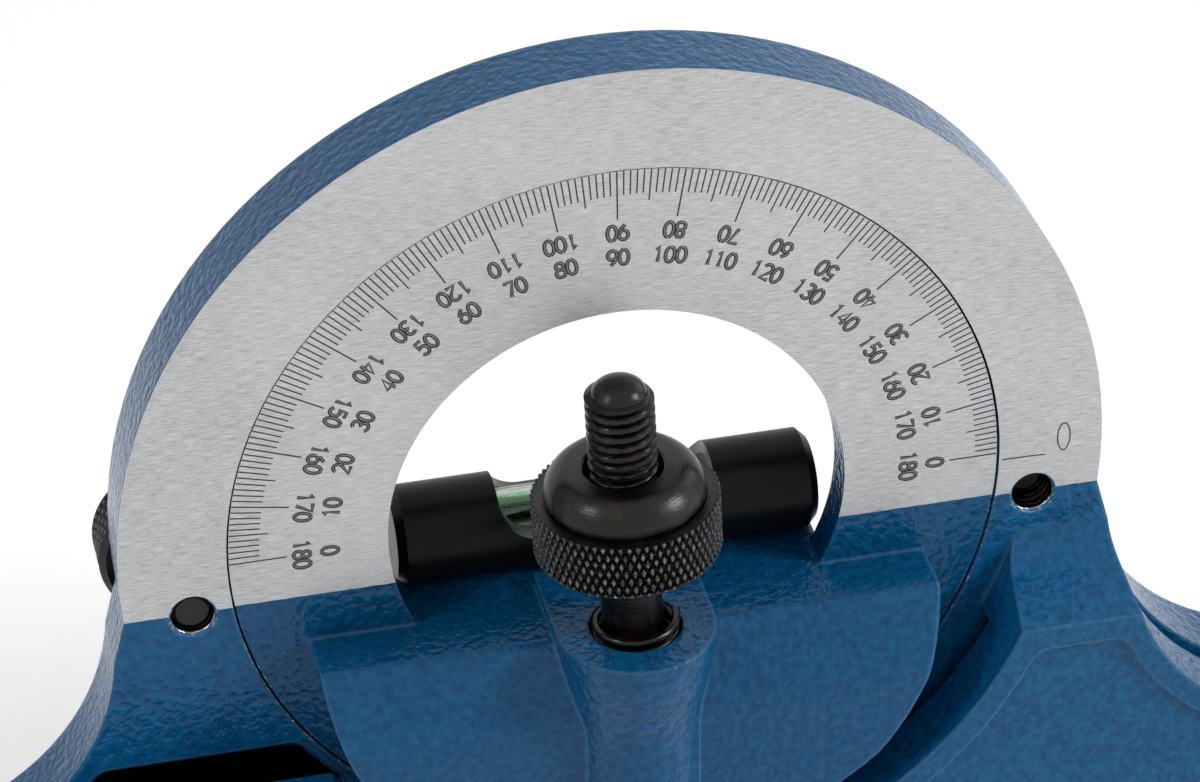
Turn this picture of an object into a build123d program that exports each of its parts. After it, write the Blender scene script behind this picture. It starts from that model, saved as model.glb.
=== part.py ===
from build123d import *
import math
import os

# Protractor head of a combination square, without its blade.
# X runs along the base, Y runs from the scale side to the back, Z is up.
# The origin is on the base face, at the middle of the arch plate's thickness.

# Driving dimensions, in millimetres and degrees

# Frame casting
base_floor = 2.5
arch_width = 9.8
plate_thickness = 7.0
base_half_length = 66.5
neck_top_height = -4.5
neck_foot_height = -9.0
wing_arc_radius = 21.9
wing_arc_height = -7.0
wing_neck_step = 0.9
rim_draft = 1.5
shoulder_front = 8.5
shoulder_edge_height = -13.9
shoulder_crease_height = -11.2
shoulder_crease_radius = 4.0
left_wall_height = -22.5
recess_wall_gap = 1.6
recess_wall_shift = 1.4
panel_rim = 2.4
panel_depth = 0.5
panel_corner_radius = 2.0
panel_inner_reach = 26.0
relief_top_height = -21.2
relief_border = 1.5
relief_depth = 2.5
relief_edge_chamfer = 0.8

# Blade that the head takes
blade_thickness = 2.4
blade_width = 25.4
blade_clearance = 0.15
blade_top_height = -16.6

# Turret casting
turret_radius = 35.0
turret_face_recess = 0.2
turret_gap = 0.2
turret_face_thickness = 3.8
flange_width = 1.2
flange_running_gap = 0.08
flange_end_gap = 0.05
window_radius = 20.8
flange_inner_radius = 25.0
ledge_height = -9.4
ledge_front = 5.4
ledge_edge_radius = 0.9
bar_front = 8.5
bar_ramp_foot_height = -16.8
bar_ramp_foot_radius = 6.0
bar_outline_radius = 28.4
bar_outline_height = -7.2
bar_rim_gap = 1.6

# Boss that carries the clamp bolt
bolt_forward = 6.1
boss_top_height = -8.2
boss_radius = 7.2
boss_root_radius = 5.7
boss_flare_height = -19.0
boss_back = 3.6

# Clamp bolt, nut and spring
bolt_radius = 3.175
shank_radius = 2.75
bolt_ball_radius = 2.65
bolt_tip_height = 18.1
bolt_lean = 2.2
bolt_lean_height = -14.3
thread_end_height = -2.0
bolt_hole_clearance = 0.45
head_radius = 3.6
head_height = 6.0
head_clearance = 0.95
head_travel = 0.8
head_drop = 2.5
groove_width = 3.2
groove_depth = 0.9
nib_clearance = 0.2
nut_bottom_height = 0.9
knurl_radius = 8.5
knurl_height = 5.3
knurl_chamfer = 0.35
dome_radius = 7.6
dome_height = 4.4
nut_neck_gap = 0.35
nut_mouth_radius = 3.75
nut_mouth_depth = 2.0
nut_mouth_cone = 0.6
dome_flat_width = 0.7
dome_steps = 5
nut_thread_clearance = 0.08
spring_wire_radius = 0.38
spring_wire_sides = 6
spring_outer_radius = 4.0
spring_seat_height = -13.6
spring_top_height = -6.9
spring_turns = 5.0
spring_pocket_clearance = 0.2

# Lock screws that hold the turret from the back
lock_screw_gap = 3.8
lock_screw_drop = -4.8
lock_thread_radius = 1.85
lock_thread_clearance = 0.06
lock_pitch = 0.7
lock_left_tip_depth = 0.7
lock_right_turns_out = 3.0
lock_tip_chamfer = 0.4
lock_washer_radius = 4.6
lock_washer_thickness = 1.2
lock_neck_radius = 3.4
lock_neck_length = 1.0
lock_head_radius = 7.0
lock_head_length = 5.5
lock_head_chamfer = 0.6
lock_hole_chamfer = 0.25

# Spirit level
level_tube_radius = 4.6
level_bore_radius = 3.5
level_half_length = 19.4
level_back = 7.6
level_end_chamfer = 0.8
level_notch_inset = 9.5
level_notch_corner = 3.3
level_notch_drop = 0.7
level_plug_length = 3.0
vial_radius = 2.95
vial_wall = 0.7
vial_end_gap = 2.4
vial_end_chamfer = 1.2
bubble_radius = 0.9
bubble_half_length = 3.2
bubble_end_chamfer = 0.5
bubble_clearance = 0.05
seat_thickness = 4.6
seat_back = 13.0
seat_corner_radius = 2.5
level_screw_inset = 8.4
level_screw_radius = 1.25
level_screw_clearance = 0.15
level_screw_head_radius = 2.2
level_screw_head_height = 1.5
level_screw_slot_width = 0.6
level_screw_slot_depth = 0.7

# Sizes that follow from the ones above

blade_slot = blade_thickness + blade_clearance
turret_height = blade_width - blade_top_height + base_floor
arch_radius = turret_radius + arch_width
wing_arc_reach = arch_radius + wing_neck_step + wing_arc_radius
recess_wall_radius = turret_radius + recess_wall_gap
flange_radius = turret_radius + flange_width
bar_reach_radius = turret_radius - bar_rim_gap
lock_screw_reach = turret_radius + lock_screw_gap
bore_radius = turret_radius + turret_gap
counterbore_radius = flange_radius + flange_running_gap
flange_front = turret_face_thickness + flange_end_gap
flange_back = plate_thickness - flange_end_gap
base_drop = -turret_height
neck_top_x = math.sqrt(arch_radius ** 2 - neck_top_height ** 2)
neck_foot_drop = neck_foot_height - wing_arc_height
neck_foot_x = wing_arc_reach - math.sqrt(wing_arc_radius ** 2 - neck_foot_drop ** 2)
level_height = ledge_height + level_tube_radius
level_notch_half = level_half_length - level_notch_inset
level_screw_x = level_half_length - level_screw_inset
vial_half_length = level_half_length - level_plug_length - vial_end_gap
shank_hole_radius = shank_radius + bolt_hole_clearance
head_pocket_radius = head_radius + head_clearance
head_middle_height = blade_top_height - blade_width / 2
head_top_height = head_middle_height + head_height / 2
pocket_top_height = head_top_height + head_travel
bolt_room_bottom = head_top_height - head_height - head_drop - head_clearance
spring_pocket_radius = spring_outer_radius + spring_pocket_clearance
lock_hole_radius = lock_thread_radius + lock_thread_clearance
lock_right_backoff = lock_right_turns_out * lock_pitch
lock_screw_x = math.sqrt(lock_screw_reach ** 2 - lock_screw_drop ** 2)
bar_root = turret_face_thickness / 2
far = 4 * turret_height


# Drawing helpers
# A point toward the viewer has a positive "forward", which is minus Y.


def box_between(x0, x1, forward0, forward1, z0, z1):
    size = (x1 - x0, forward1 - forward0, z1 - z0)
    middle = ((x0 + x1) / 2, -(forward0 + forward1) / 2, (z0 + z1) / 2)
    return Pos(*middle) * Box(*size)


def disc(radius, forward0, forward1, x=0.0, z=0.0):
    plane = Plane(origin=(x, -forward0, z), x_dir=(1, 0, 0), z_dir=(0, -1, 0))
    return extrude(plane * Circle(radius), forward1 - forward0)


def post(radius, z0, z1, forward=0.0, x=0.0):
    return extrude(Pos(x, -forward, z0) * Circle(radius), z1 - z0)


def front_plane(forward):
    return Plane(origin=(0, -forward, 0), x_dir=(1, 0, 0), z_dir=(0, -1, 0))


def along_x(face, half_length):
    # The face is drawn with its first axis forward and its second axis up.
    plane = Plane(origin=(-half_length, 0, 0), x_dir=(0, -1, 0), z_dir=(-1, 0, 0))
    return extrude(plane * face, -2 * half_length)


def turned(points):
    # A closed profile of (radius, height) points, turned about the vertical axis.
    profile = make_face(Polyline(*points, close=True))
    return revolve(Plane.XZ * profile, Axis.Z)


# Frame casting


def frame_outline():
    below = Pos(0, (neck_foot_height + base_drop) / 2) * Rectangle(
        2 * base_half_length, neck_foot_height - base_drop
    )
    neck = make_face(
        Polyline(
            (-neck_top_x, neck_top_height),
            (neck_top_x, neck_top_height),
            (neck_foot_x, neck_foot_height),
            (-neck_foot_x, neck_foot_height),
            close=True,
        )
    )
    web = Circle(arch_radius) + neck + below
    for sign in (-1, 1):
        web -= Pos(sign * wing_arc_reach, wing_arc_height) * Circle(wing_arc_radius)
        # A wing that is longer than the arc's middle stays level from there on.
        beyond = Pos(sign * (wing_arc_reach + far / 2), wing_arc_height)
        web -= beyond * Rectangle(far, 2 * wing_arc_radius)
    return web


def shoulder_profile():
    cut = make_face(
        Polyline(
            (0, far),
            (0, shoulder_crease_height),
            (shoulder_front, shoulder_edge_height),
            (far, shoulder_edge_height),
            (far, far),
            close=True,
        )
    )
    crease = cut.vertices().sort_by_distance((0, shoulder_crease_height))[0]
    return fillet(crease, shoulder_crease_radius)


def pocket_face(sign, top_height, wall_radius, wall_shift=0.0):
    # A shallow pocket's outline on one side, a rim's width inside the casting's outline.
    # It is drawn smaller by the corner radius and grown back, which rounds its corners.
    corner = panel_corner_radius
    inner = offset(frame_outline(), -panel_rim - corner)
    wall = Pos(wall_shift, 0) * Circle(wall_radius + corner)
    above = Pos(0, top_height - corner + far / 2) * Rectangle(2 * far, far)
    reach = panel_inner_reach + corner
    other_side = Pos(sign * (reach - far), 0) * Rectangle(2 * far, 2 * far)
    return offset((inner - wall - above - other_side).faces()[0], corner)


def frame():
    outline = frame_outline()
    plate = extrude(front_plane(0) * outline, -plate_thickness, taper=rim_draft)
    shoulder = extrude(front_plane(0) * outline, shoulder_front, taper=rim_draft)
    shoulder -= along_x(shoulder_profile(), far)
    shoulder -= disc(recess_wall_radius, 0, far, x=recess_wall_shift)
    # The left wall is low, so that a blade can swing up out of its slot.
    shoulder -= box_between(-far, 0, 0, far, left_wall_height, far)
    body = plate + shoulder
    body -= box_between(-far, far, -far, far, base_drop - far, base_drop)
    body -= box_between(-far, far, 0, blade_slot, -far, blade_top_height)
    body -= post(head_pocket_radius, bolt_room_bottom, 0, bolt_forward)
    body -= disc(bore_radius, -turret_face_thickness, far)
    body -= disc(counterbore_radius, -far, -turret_face_thickness)
    panel_wall = recess_wall_radius + panel_rim
    high_top = shoulder_edge_height - panel_rim
    low_top = left_wall_height - panel_rim
    for sign, top in ((-1, low_top), (1, high_top)):
        front_panel = pocket_face(sign, top, panel_wall, recess_wall_shift)
        back_panel = pocket_face(sign, high_top, panel_wall, recess_wall_shift)
        body -= extrude(front_plane(shoulder_front - panel_depth) * front_panel, far)
        body -= extrude(front_plane(panel_depth - plate_thickness) * back_panel, -far)
        body -= lock_hole(sign)
    relief = pocket_face(-1, relief_top_height, bore_radius + relief_border)
    body -= extrude(front_plane(-relief_depth) * relief, relief_depth)
    middle = (-(base_half_length + panel_inner_reach) / 2, 0, relief_top_height)
    edge = body.edges().filter_by(Axis.X).sort_by_distance(middle)[0]
    return chamfer(edge, relief_edge_chamfer)


def lock_hole(sign):
    x = sign * lock_screw_x
    hole = disc(lock_hole_radius, -far, far, x=x, z=lock_screw_drop)
    mouth = front_plane(0) * Pos(x, lock_screw_drop) * Circle(lock_hole_radius + lock_hole_chamfer)
    return hole + extrude(mouth, -lock_hole_chamfer, taper=45)


# Turret casting


def bar_profile():
    profile = make_face(
        Polyline(
            (-bar_root, ledge_height),
            (ledge_front, ledge_height),
            (bar_front, bar_ramp_foot_height),
            (bar_front, -far),
            (-bar_root, -far),
            close=True,
        )
    )
    edge = profile.vertices().sort_by_distance((ledge_front, ledge_height))[0]
    profile = fillet(edge, ledge_edge_radius)
    foot = profile.vertices().sort_by_distance((bar_front, bar_ramp_foot_height))[0]
    return fillet(foot, bar_ramp_foot_radius)


def boss():
    # Loft up the column, from the slim root to the wide collar at the top.
    sections = []
    steps = 4
    for step in range(steps + 1):
        share = step / steps
        height = boss_flare_height + (boss_top_height - boss_flare_height) * share
        swell = share * share * (3 - 2 * share)
        radius = boss_root_radius + (boss_radius - boss_root_radius) * swell
        sections.append(Pos(0, -bolt_forward, height) * Circle(radius))
    collar = loft(sections)
    column = post(boss_root_radius, -bar_reach_radius, boss_flare_height, bolt_forward)
    return collar + column


def boss_back_block():
    block = box_between(
        -boss_radius, boss_radius, -boss_back, bolt_forward, bar_ramp_foot_height, boss_top_height
    )
    return block


def bolt_hole():
    hole = post(shank_hole_radius, -far, far, bolt_forward)
    hole += post(spring_pocket_radius, spring_seat_height, far, bolt_forward)
    hole += post(head_pocket_radius, -far, pocket_top_height, bolt_forward)
    return hole


def turret():
    front = -turret_face_recess
    face = disc(turret_radius, -flange_back, front)
    flange = disc(flange_radius, -flange_back, -flange_front)
    body = face + flange
    window = disc(window_radius, -far, far)
    window -= box_between(-far, far, -far, far, -far, ledge_height)
    body -= window
    body -= disc(flange_inner_radius, -far, -turret_face_thickness)
    body += level_seat()
    bar = along_x(bar_profile(), turret_radius)
    bar &= disc(bar_outline_radius, -bar_root, bar_front, z=bar_outline_height)
    bar &= disc(bar_reach_radius, -bar_root, bar_front)
    body += bar
    body += boss() & disc(bar_reach_radius, -far, far)
    body += boss_back_block()
    body -= box_between(-far, far, front, blade_slot, -far, blade_top_height)
    body -= bolt_hole()
    for sign in (-1, 1):
        hole_radius = level_screw_radius + level_screw_clearance
        x = sign * level_screw_x
        body -= post(hole_radius, ledge_height - far, ledge_height, -level_back, x)
    return body


def level_seat():
    block = box_between(
        -level_half_length,
        level_half_length,
        -seat_back,
        -bar_root,
        ledge_height - seat_thickness,
        ledge_height,
    )
    corners = block.edges().filter_by(Axis.Z).sort_by(Axis.Y)[-2:]
    return fillet(corners, seat_corner_radius)


# Clamp bolt, nut and spring, drawn upright and then leaned together


def lean(solid):
    pivot = (0, -bolt_forward, bolt_lean_height)
    return Pos(*pivot) * Rot(0, -bolt_lean, 0) * Pos(0, 0, -bolt_lean_height) * solid


def clamp_bolt():
    ball_middle = bolt_tip_height - bolt_ball_radius
    rod = post(bolt_radius, thread_end_height, ball_middle)
    rod += post(shank_radius, head_middle_height, thread_end_height)
    rod += Pos(0, 0, ball_middle) * Sphere(bolt_ball_radius)
    head = post(head_radius, head_top_height - head_height, head_top_height)
    flat = blade_slot + nib_clearance - bolt_forward
    nib_tip = blade_slot - groove_depth - bolt_forward
    half_nib = (groove_width - nib_clearance) / 2
    trim = box_between(-far, far, -far, flat, -far, far)
    trim -= box_between(
        -far, far, nib_tip, far, head_middle_height - half_nib, head_middle_height + half_nib
    )
    head -= trim
    return lean(rod + head)


def clamp_nut():
    bottom = nut_bottom_height
    knurl_top = bottom + knurl_height
    top = knurl_top + dome_height
    bore = bolt_radius + nut_thread_clearance
    groove = dome_radius - nut_neck_gap
    flat_edge = nut_mouth_radius + dome_flat_width
    dome_foot = knurl_top + nut_neck_gap
    dome = []
    for step in range(dome_steps + 1):
        angle = math.radians(90 * step / dome_steps)
        out = flat_edge + (dome_radius - flat_edge) * math.cos(angle)
        dome.append((out, dome_foot + (top - dome_foot) * math.sin(angle)))
    points = [
        (bore, bottom),
        (knurl_radius - knurl_chamfer, bottom),
        (knurl_radius, bottom + knurl_chamfer),
        (knurl_radius, knurl_top - knurl_chamfer),
        (knurl_radius - knurl_chamfer, knurl_top),
        (groove, knurl_top),
        (groove, dome_foot),
        *dome,
        (nut_mouth_radius, top),
        (nut_mouth_radius, top - nut_mouth_depth),
        (bore, top - nut_mouth_depth - nut_mouth_cone),
    ]
    return lean(turned(points))


def clamp_spring():
    coil_radius = spring_outer_radius - spring_wire_radius
    low = spring_seat_height + spring_wire_radius
    high = spring_top_height - spring_wire_radius
    pitch = (high - low) / spring_turns
    path = Pos(0, -bolt_forward, low) * Helix(pitch, high - low, coil_radius)
    start = Plane(origin=path @ 0, z_dir=path % 0)
    wire = start * RegularPolygon(spring_wire_radius, spring_wire_sides)
    return sweep(wire, path=path)


# Lock screws and their captive washers


def back_axis(sign, backoff):
    # The local Z axis points out of the back, from the plate's back face.
    return Plane(
        origin=(sign * lock_screw_x, plate_thickness + backoff, lock_screw_drop),
        x_dir=(1, 0, 0),
        z_dir=(0, 1, 0),
    )


def lock_screw(sign, backoff):
    tip = -(plate_thickness - lock_left_tip_depth)
    neck_start = lock_washer_thickness
    head_start = neck_start + lock_neck_length
    head_end = head_start + lock_head_length
    cut = lock_head_chamfer
    points = [
        (0, tip),
        (lock_thread_radius - lock_tip_chamfer, tip),
        (lock_thread_radius, tip + lock_tip_chamfer),
        (lock_thread_radius, neck_start),
        (lock_neck_radius, neck_start),
        (lock_neck_radius, head_start),
        (lock_head_radius - cut, head_start),
        (lock_head_radius, head_start + cut),
        (lock_head_radius, head_end - cut),
        (lock_head_radius - cut, head_end),
        (0, head_end),
    ]
    return back_axis(sign, backoff).location * turned(points)


def lock_washer(sign, backoff):
    plane = back_axis(sign, backoff)
    ring = Circle(lock_washer_radius) - Circle(lock_thread_radius + lock_thread_clearance)
    return extrude(plane * ring, lock_washer_thickness)


# Spirit level


def x_rod(radius, x0, x1, height=level_height):
    plane = Plane(origin=(x0, level_back, height), x_dir=(0, 1, 0), z_dir=(1, 0, 0))
    return extrude(plane * Circle(radius), x1 - x0)


def notch():
    floor = level_height + level_notch_drop
    tall = 3 * level_tube_radius
    face = Pos(0, floor + tall / 2) * Rectangle(2 * level_notch_half, tall)
    corners = face.vertices().group_by(Axis.Y)[0]
    face = fillet(corners, level_notch_corner)
    return extrude(front_plane(-level_back + tall) * face, -2 * tall)


def level_tube():
    body = x_rod(level_tube_radius, -level_half_length, level_half_length)
    body = chamfer(body.edges().filter_by(GeomType.CIRCLE), level_end_chamfer)
    body -= x_rod(level_bore_radius, -far, far)
    body -= notch()
    for sign in (-1, 1):
        x = sign * level_screw_x
        body -= post(level_screw_radius, ledge_height, level_height - vial_radius, -level_back, x)
    return body


def level_plug(sign):
    inner = level_half_length - level_plug_length
    return x_rod(level_bore_radius, sign * inner, sign * level_half_length)


def vial_outer():
    body = x_rod(vial_radius, -vial_half_length, vial_half_length)
    return chamfer(body.edges().filter_by(GeomType.CIRCLE), vial_end_chamfer)


def vial_inner():
    half = vial_half_length - vial_wall
    body = x_rod(vial_radius - vial_wall, -half, half)
    return chamfer(body.edges().filter_by(GeomType.CIRCLE), vial_end_chamfer - vial_wall / 2)


def level_vial():
    return vial_outer() - vial_inner()


def bubble():
    height = level_height + vial_radius - vial_wall - bubble_radius - bubble_clearance
    body = x_rod(bubble_radius, -bubble_half_length, bubble_half_length, height)
    return chamfer(body.edges().filter_by(GeomType.CIRCLE), bubble_end_chamfer)


def level_liquid():
    return vial_inner() - bubble()


def level_bedding():
    half = level_half_length - level_plug_length
    fill = x_rod(level_bore_radius, -half, half) - vial_outer()
    fill -= notch()
    for sign in (-1, 1):
        x = sign * level_screw_x
        fill -= post(level_screw_radius, -far, level_height - vial_radius, -level_back, x)
    return fill


def level_screw(sign):
    seat = ledge_height - seat_thickness
    tip = level_height - level_bore_radius
    body = post(level_screw_radius, seat, tip, -level_back)
    head = post(level_screw_head_radius, seat - level_screw_head_height, seat, -level_back)
    slot = box_between(
        -level_screw_head_radius,
        level_screw_head_radius,
        -level_back - level_screw_slot_width / 2,
        -level_back + level_screw_slot_width / 2,
        seat - level_screw_head_height,
        seat - level_screw_head_height + level_screw_slot_depth,
    )
    return Pos(sign * level_screw_x, 0, 0) * (body + head - slot)


# All pieces, in the frame whose origin is on the base face


def all_parts():
    return {
        "frame": frame(),
        "turret": turret(),
        "clamp_bolt": clamp_bolt(),
        "clamp_nut": clamp_nut(),
        "clamp_spring": clamp_spring(),
        "lock_screw_left": lock_screw(-1, 0),
        "lock_screw_right": lock_screw(1, lock_right_backoff),
        "lock_washer_left": lock_washer(-1, 0),
        "lock_washer_right": lock_washer(1, lock_right_backoff),
        "level_tube": level_tube(),
        "level_plug_left": level_plug(-1),
        "level_plug_right": level_plug(1),
        "level_vial": level_vial(),
        "level_liquid": level_liquid(),
        "level_bedding": level_bedding(),
        "level_screw_left": level_screw(-1),
        "level_screw_right": level_screw(1),
    }


os.makedirs("parts", exist_ok=True)
for name, solid in all_parts().items():
    placed = Pos(0, -plate_thickness / 2, turret_height) * solid
    export_step(placed, f"parts/{name}.step")
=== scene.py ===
import math

import bmesh
import bpy
from mathutils import Matrix, Vector


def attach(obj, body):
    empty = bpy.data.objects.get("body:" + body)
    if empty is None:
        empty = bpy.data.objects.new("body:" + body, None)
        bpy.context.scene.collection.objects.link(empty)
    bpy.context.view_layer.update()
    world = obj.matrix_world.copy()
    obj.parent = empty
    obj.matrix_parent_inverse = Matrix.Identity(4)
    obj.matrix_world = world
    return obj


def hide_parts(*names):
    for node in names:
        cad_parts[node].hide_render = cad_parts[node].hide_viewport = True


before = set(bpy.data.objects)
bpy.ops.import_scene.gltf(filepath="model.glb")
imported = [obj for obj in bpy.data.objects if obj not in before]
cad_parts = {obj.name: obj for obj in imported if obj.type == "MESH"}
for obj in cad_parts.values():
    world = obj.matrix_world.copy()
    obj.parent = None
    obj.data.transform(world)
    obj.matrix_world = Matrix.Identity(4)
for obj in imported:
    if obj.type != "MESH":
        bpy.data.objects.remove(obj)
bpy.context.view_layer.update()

# Sizes of the solids that the pieces below follow, in millimetres.
# They are measured from the turret's centre on the ground face:
# X to the right, "forward" toward the reader, Z up.
MM = 0.001
TURRET_HEIGHT = 44.5
FACE_FORWARD = 3.5
TURRET_RADIUS = 35.0
TURRET_FACE_RECESS = 0.2
BORE_RADIUS = 35.2
GROUND_LINE = -4.5
BOLT_FORWARD = 6.1
BOLT_LEAN = math.radians(2.2)
BOLT_LEAN_HEIGHT = -14.3
LOCK_X = 38.502
LOCK_Z = -4.8
LOCK_HOLE_WALL = 1.96
LOCK_PITCH = 0.7
LOCK_RIGHT_BACKOFF = 2.1
PLATE_BACK = 7.0
LEVEL_BACK = 7.6
LEVEL_Z = -4.8
LEVEL_TUBE_RADIUS = 4.6
LEVEL_NOTCH_REACH = 12.0

# How the meshes are drawn: points closer than WELD millimetres are one, an edge that
# turns by more than SHARP_TURN stays sharp, and a thread's profile has no run longer
# than THREAD_STEP millimetres.
WELD = 1e-4
SHARP_TURN = math.radians(35)
THREAD_STEP = 0.07


def place(x, forward, z):
    """A point measured from the turret's centre, in the frame's metres."""
    return Vector((x, -forward - FACE_FORWARD, z + TURRET_HEIGHT)) * MM


def from_turret_centre():
    """The matrix that takes millimetres about the turret's centre to the frame."""
    return Matrix.Translation(place(0, 0, 0)) @ Matrix.Scale(MM, 4)


def leaned():
    """The clamp bolt's upright axis, leaned as it stands in its hole."""
    pivot = Matrix.Translation((0, -BOLT_FORWARD, BOLT_LEAN_HEIGHT))
    back = Matrix.Translation((0, 0, -BOLT_LEAN_HEIGHT))
    return from_turret_centre() @ pivot @ Matrix.Rotation(-BOLT_LEAN, 4, "Y") @ back


def out_of_the_back(x, backoff):
    """A lock screw's axis: its own Z points out of the back of the plate."""
    turn = Matrix.Rotation(-math.pi / 2, 4, "X")
    spot = Matrix.Translation((x, PLATE_BACK + backoff, LOCK_Z))
    return from_turret_centre() @ spot @ turn


def finish_piece(name, shape, matrix, material, body, smooth=True):
    """Turn a bmesh drawn in millimetres into a piece of the part."""
    bmesh.ops.recalc_face_normals(shape, faces=shape.faces)
    bmesh.ops.transform(shape, matrix=matrix, verts=shape.verts)
    mesh = bpy.data.meshes.new(name)
    shape.to_mesh(mesh)
    shape.free()
    if smooth:
        mesh.shade_smooth()
        mesh.set_sharp_from_angle(angle=SHARP_TURN)
    piece = bpy.data.objects.new(name, mesh)
    bpy.context.scene.collection.objects.link(piece)
    piece.data.materials.append(material)
    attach(piece, body)
    return piece


def densified(profile, step):
    """The same profile with no run longer than step."""
    points = [profile[0]]
    for (r0, z0), (r1, z1) in zip(profile, profile[1:]):
        count = max(1, math.ceil(math.hypot(r1 - r0, z1 - z0) / step))
        for i in range(1, count + 1):
            share = i / count
            points.append((r0 + (r1 - r0) * share, z0 + (z1 - z0) * share))
    return points


def quarter(r0, z0, r1, z1, count):
    """A quarter ellipse from an outer low point to an inner high one."""
    points = []
    for i in range(count + 1):
        angle = math.pi / 2 * i / count
        points.append((r1 + (r0 - r1) * math.cos(angle), z0 + (z1 - z0) * math.sin(angle)))
    return points


def spun(profile, steps):
    """A profile of (radius, height) points spun about the upright axis."""
    shape = bmesh.new()
    points = [shape.verts.new((r, 0, z)) for r, z in profile]
    runs = [shape.edges.new(pair) for pair in zip(points, points[1:])]
    bmesh.ops.spin(
        shape,
        geom=points + runs,
        cent=(0, 0, 0),
        axis=(0, 0, 1),
        angle=2 * math.pi,
        steps=steps,
        use_merge=True,
    )
    bmesh.ops.remove_doubles(shape, verts=shape.verts, dist=WELD)
    return shape


def to_radius(vert, radius):
    """Move a point straight in or out until it lies at this radius."""
    share = radius / math.hypot(vert.co.x, vert.co.y)
    vert.co.x *= share
    vert.co.y *= share


def cut_thread(shape, crest, depth, pitch, low, high, runout):
    """Press a right-hand thread into the round part between two heights. It deepens
    from nothing over its first stretch, the runout."""
    # Of half a turn, the share that is flat root and the share that slopes to the crest
    root_flat, flank_share = 0.08, 0.52
    for vert in shape.verts:
        flat = math.hypot(vert.co.x, vert.co.y)
        if not low < vert.co.z < high or flat < crest - depth:
            continue
        turn = math.atan2(vert.co.y, vert.co.x) / (2 * math.pi)
        phase = (vert.co.z / pitch - turn) % 1.0
        flank = (abs(2 * phase - 1) - root_flat) / flank_share
        fade = min(1.0, (vert.co.z - low) / runout)
        groove = depth * (1 - min(1.0, max(0.0, flank))) * fade
        to_radius(vert, min(flat, crest - groove))


def press_knurl(shape, radius, depth, count, low, high):
    """Press a diamond knurl into a rim: two families of crossed grooves that leave tall
    diamonds with flat tops, and that run out at both edges of the band."""
    tall, sharp, edge_run, slack = 2.2, 1.9, 0.1, 0.02
    rise = 2 * math.pi * radius / count
    for vert in shape.verts:
        flat = math.hypot(vert.co.x, vert.co.y)
        if not low < vert.co.z < high or flat < radius - slack:
            continue
        around = math.atan2(vert.co.y, vert.co.x) / (2 * math.pi) * count
        up = vert.co.z / (rise * tall)
        one = 1 - abs(2 * ((around + up) % 1.0) - 1)
        other = 1 - abs(2 * ((around - up) % 1.0) - 1)
        flank = min(1.0, min(one, other) * sharp)
        edge = min(1.0, (vert.co.z - low) / edge_run, (high - vert.co.z) / edge_run)
        to_radius(vert, flat - depth * (1 - flank) * max(0.0, edge))


def linear(colour):
    """An sRGB hex colour as Blender's linear colour."""
    parts = [int(colour[i : i + 2], 16) / 255 for i in (1, 3, 5)]
    straight = [c / 12.92 if c <= 0.04045 else ((c + 0.055) / 1.055) ** 2.4 for c in parts]
    return (*straight, 1.0)


def add(tree, kind, feeds, result=0, **settings):
    """Add a node with its settings, link or fill its inputs, and give one output."""
    node = tree.nodes.new(kind)
    for key, value in settings.items():
        setattr(node, key, value)
    for key, value in feeds.items():
        if isinstance(value, bpy.types.NodeSocket):
            tree.links.new(value, node.inputs[key])
        else:
            node.inputs[key].default_value = value
    return node.outputs[result] if node.outputs else None


def bare_material(name):
    """A new material with no nodes in it, and its node tree."""
    material = bpy.data.materials.new(name)
    material.use_nodes = True
    material.node_tree.nodes.clear()
    return material, material.node_tree


# The kinds of node that the finishes use most
COORDINATES = "ShaderNodeTexCoord"
SPLIT = "ShaderNodeSeparateXYZ"
RAY = "ShaderNodeLightPath"
MATH = "ShaderNodeMath"
VECTOR = "ShaderNodeVectorMath"
MIX = "ShaderNodeMix"
RANGE = "ShaderNodeMapRange"
NOISE = "ShaderNodeTexNoise"
STRETCH = "ShaderNodeMapping"
BUMP = "ShaderNodeBump"
SKIN = "ShaderNodeBsdfPrincipled"
OUTPUT = "ShaderNodeOutputMaterial"
# Where a Mix node takes and gives its numbers, its colours and its vectors
MIX_A, MIX_B, COLOUR_A, COLOUR_B, COLOUR_OUT = 2, 3, 6, 7, 2
VECTOR_A, VECTOR_B, VECTOR_OUT = 4, 5, 1
# Where a Map Range node takes the ends of the range it reads and of the one it gives
LOW_IN, HIGH_IN, LOW_OUT, HIGH_OUT = 1, 2, 3, 4


def grain_scale(grain_mm):
    """The scale at which a noise has grains of about this size."""
    return 1 / (grain_mm * MM)


# Where the enamel's finishes begin and end, in millimetres
FACE_SLACK = 0.08  # a point this near the ground face's plane lies on the face
LINE_WANDER = 0.1  # how far the ground finish strays above and below its line
EDGE_ROUNDING = 0.55  # the radius of the casting's edges under the enamel
EDGE_SLACK = 0.035  # a point this near the worn radius lies on the turned edge
WORN_DEPTH = 3.0  # how far behind the face the turned edge is rubbed
# Floors set farther behind the face than the next depth are painted nearly black as shade.
PAINTED_SHADE_DEPTH = 1.2  # a floor farther behind the face than this lies in shade
MOUTH_REACH = 0.12  # how far outside its wall a tapped hole's broken paint lies
MOUTH_SLACK = 0.13  # half the width of that ring
# A surface whose normal has less Y than this looks toward the reader
TOWARD_READER = -0.97


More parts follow.
